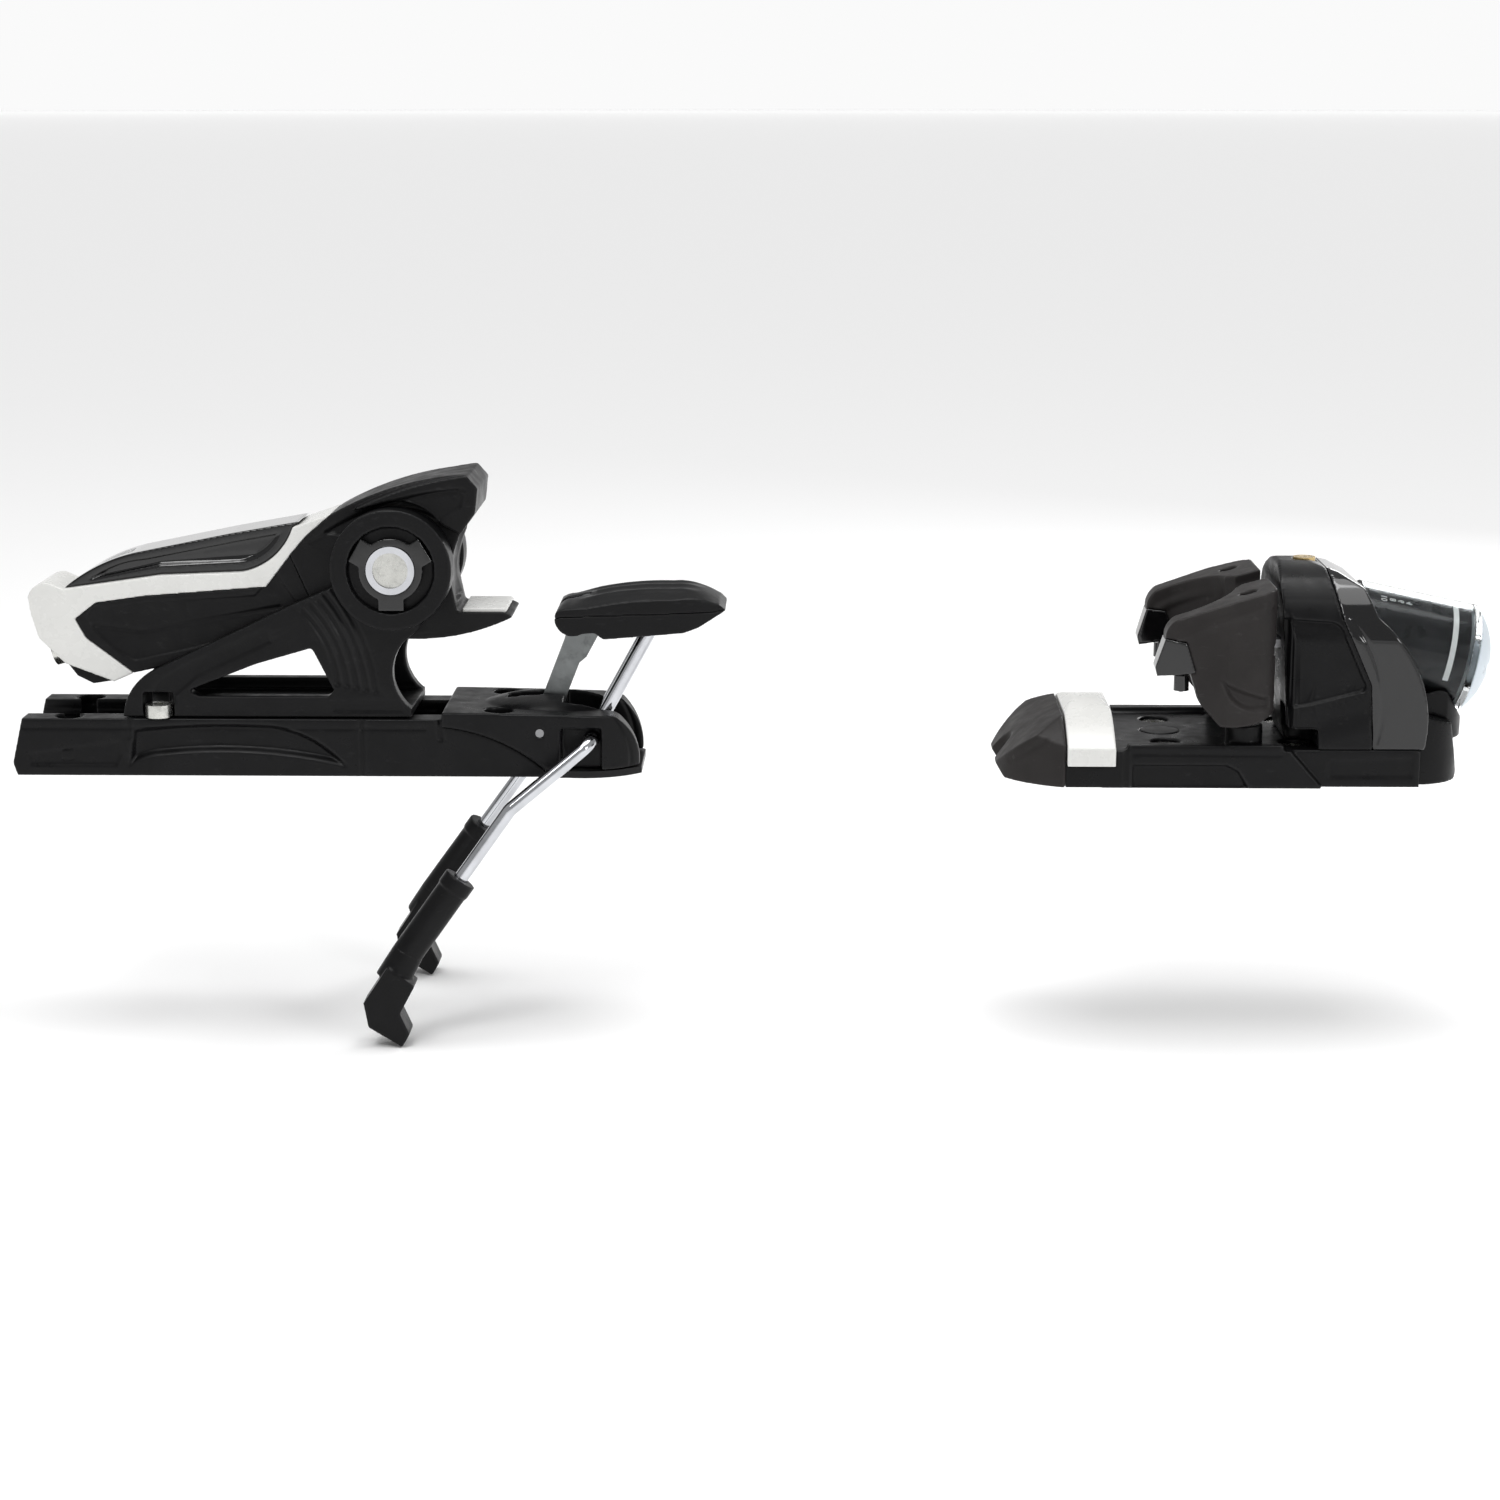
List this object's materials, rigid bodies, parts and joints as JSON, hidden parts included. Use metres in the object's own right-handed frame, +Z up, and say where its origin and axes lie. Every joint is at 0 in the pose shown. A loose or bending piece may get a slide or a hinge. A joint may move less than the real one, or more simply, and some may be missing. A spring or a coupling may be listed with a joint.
{
  "type": "alpine ski binding",
  "caption": "Step-in ski binding: toe unit with sprung wings and heel unit with lever, spring cup, sliding carriage and pedal-folded ski brake.",
  "frame": {"origin": "centre of the toe unit's four screw holes, on the ski's top face", "axes": "+X towards the ski tip, +Y to the skier's left, +Z up from the ski"},
  "size_m": [0.5361, 0.1036, 0.2024],
  "materials": {
    "track_black": "fine matte texture",
    "frame_black": "satin moulded, with textured fields",
    "gloss_black": "high gloss",
    "warm_grey": "matte moulded",
    "white_plastic": "semi-gloss",
    "clear_plastic": "clear",
    "scale_label": "printed",
    "chrome_wire": "polished",
    "flat_steel": "scratched flat steel",
    "zinc_steel": "zinc plated",
    "spring_steel": "oiled",
    "brass": "satin"
  },
  "bodies": {
    "root": {"heel_track": "track_black", "length_rack": "flat_steel", "heel_mounting_screws": "zinc_steel", "brake_housing": "track_black", "brake_bottom_plate": "track_black", "link_pin": "zinc_steel", "brake_spring": "spring_steel", "toe_base": "track_black", "toe_mounting_screws": "zinc_steel", "toe_plug": "frame_black", "afd_nose": "warm_grey", "afd_pad": "white_plastic", "toe_housing": "track_black", "toe_cover": "gloss_black", "toe_top_screw": "brass", "wing_bracket": "flat_steel", "scale_window": "clear_plastic", "scale_sleeve": "scale_label", "toe_spring": "spring_steel", "tube_end_ring": "clear_plastic", "tube_under_cover": "track_black", "toe_front_foot": "track_black", "wing_pins": "zinc_steel"},
    "heel_carriage": {"heel_frame": "frame_black", "carriage_slide": "frame_black", "pressure_spring": "spring_steel", "carriage_clamp_screws": "zinc_steel", "heel_axle": "chrome_wire", "axle_core": "zinc_steel", "pivot_caps": "gloss_black", "release_cam": "zinc_steel"},
    "length_adjuster": {"length_screw": "zinc_steel"},
    "heel_jaw": {"heel_cup": "frame_black", "spur_pad": "white_plastic", "lever_housing": "frame_black", "lever_band": "white_plastic", "lever_top_insert": "gloss_black", "heel_scale_window": "clear_plastic", "lever_end_plug": "frame_black", "heel_spring": "spring_steel"},
    "heel_piston": {"spring_piston": "zinc_steel"},
    "heel_screw": {"heel_release_screw": "zinc_steel"},
    "heel_nut": {"heel_release_nut": "zinc_steel"},
    "brake_arms": {"brake_wire_right": "chrome_wire", "brake_wire_left": "chrome_wire", "arm_sleeves": "frame_black", "arm_feet": "frame_black"},
    "brake_strut": {"brake_link": "flat_steel"},
    "brake_pedal": {"pedal_base": "frame_black", "pedal_top": "frame_black", "pedal_pin": "zinc_steel"},
    "toe_plunger": {"draw_rod": "zinc_steel"},
    "toe_cap": {"toe_release_cap": "white_plastic"},
    "toe_nut": {"toe_release_nut": "zinc_steel"},
    "left_wing": {"wing_left": "warm_grey", "wing_pad_left": "gloss_black"},
    "right_wing": {"wing_right": "warm_grey", "wing_pad_right": "gloss_black"},
    "left_roller": {"wing_roller_left": "zinc_steel"},
    "right_roller": {"wing_roller_right": "zinc_steel"}
  },
  "joints": [
    {"name": "boot_length_slide", "type": "slide", "parent": "root", "child": "heel_carriage", "axis": [1, 0, 0], "range_m": [-0.008, 0.008]},
    {"name": "length_screw_turn", "type": "hinge", "parent": "heel_carriage", "child": "length_adjuster", "pos_m": [-0.398, 0, 0.0155], "axis": [1, 0, 0], "range_deg": [-965, 965]},
    {"name": "heel_jaw_hinge", "type": "hinge", "parent": "heel_carriage", "child": "heel_jaw", "pos_m": [-0.3008, 0, 0.076], "axis": [0, 1, 0], "range_deg": [0, 48]},
    {"name": "heel_piston_slide", "type": "slide", "parent": "heel_jaw", "child": "heel_piston", "axis": [0.9656, 0, 0.2601], "range_m": [-0.004, 0], "stiffness_N_per_m": 2500, "springref_m": 0.004},
    {"name": "heel_screw_turn", "type": "hinge", "parent": "heel_jaw", "child": "heel_screw", "pos_m": [-0.427, 0, 0.042], "axis": [0.9656, 0, 0.2601], "range_deg": [-724, 724]},
    {"name": "heel_nut_slide", "type": "slide", "parent": "heel_jaw", "child": "heel_nut", "axis": [0.9656, 0, 0.2601], "range_m": [-0.003, 0.003]},
    {"name": "brake_hinge", "type": "hinge", "parent": "root", "child": "brake_arms", "pos_m": [-0.23, 0, 0.014], "axis": [0, 1, 0], "range_deg": [0, 52], "stiffness_Nm_per_rad": 1.2, "springref_deg": -17.19},
    {"name": "brake_link_hinge", "type": "hinge", "parent": "root", "child": "brake_strut", "pos_m": [-0.2486, 0, 0.0165], "axis": [0, 1, 0], "range_deg": [0, 50]},
    {"name": "brake_pedal_hinge", "type": "hinge", "parent": "brake_arms", "child": "brake_pedal", "pos_m": [-0.2077, 0, 0.0545], "axis": [0, 1, 0], "range_deg": [-38, 0]},
    {"name": "toe_plunger_slide", "type": "slide", "parent": "root", "child": "toe_plunger", "axis": [0.9781, 0, -0.2079], "range_m": [0, 0.004], "stiffness_N_per_m": 2500, "springref_m": -0.004},
    {"name": "toe_cap_turn", "type": "hinge", "parent": "root", "child": "toe_cap", "pos_m": [0.064, 0, 0.045], "axis": [0.9781, 0, -0.2079], "range_deg": [-724, 724]},
    {"name": "toe_nut_slide", "type": "slide", "parent": "root", "child": "toe_nut", "axis": [0.9781, 0, -0.2079], "range_m": [-0.0015, 0.0015]},
    {"name": "left_wing_hinge", "type": "hinge", "parent": "root", "child": "left_wing", "pos_m": [0.004, 0.027, 0.04], "axis": [0, 0, -1], "range_deg": [0, 30], "stiffness_Nm_per_rad": 3, "springref_deg": -5.73},
    {"name": "right_wing_hinge", "type": "hinge", "parent": "root", "child": "right_wing", "pos_m": [0.004, -0.027, 0.04], "axis": [0, 0, 1], "range_deg": [0, 30], "stiffness_Nm_per_rad": 3, "springref_deg": -5.73},
    {"name": "left_roller_turn", "type": "hinge", "parent": "left_wing", "child": "left_roller", "pos_m": [-0.0196, 0.033, 0.0377], "axis": [0, 0, 1], "continuous": true},
    {"name": "right_roller_turn", "type": "hinge", "parent": "right_wing", "child": "right_roller", "pos_m": [-0.0196, -0.033, 0.0377], "axis": [0, 0, 1], "continuous": true}
  ],
  "couplings": [
    {"joint": "length_screw_turn", "follows": "boot_length_slide", "rad_per_m": 2094.4},
    {"joint": "heel_screw_turn", "follows": "heel_nut_slide", "rad_per_m": 4188.8},
    {"joint": "brake_link_hinge", "follows": "brake_hinge", "ratio": 0.955},
    {"joint": "brake_pedal_hinge", "follows": "brake_hinge", "ratio": -0.72},
    {"joint": "toe_cap_turn", "follows": "toe_nut_slide", "rad_per_m": 8377.6}
  ]
}
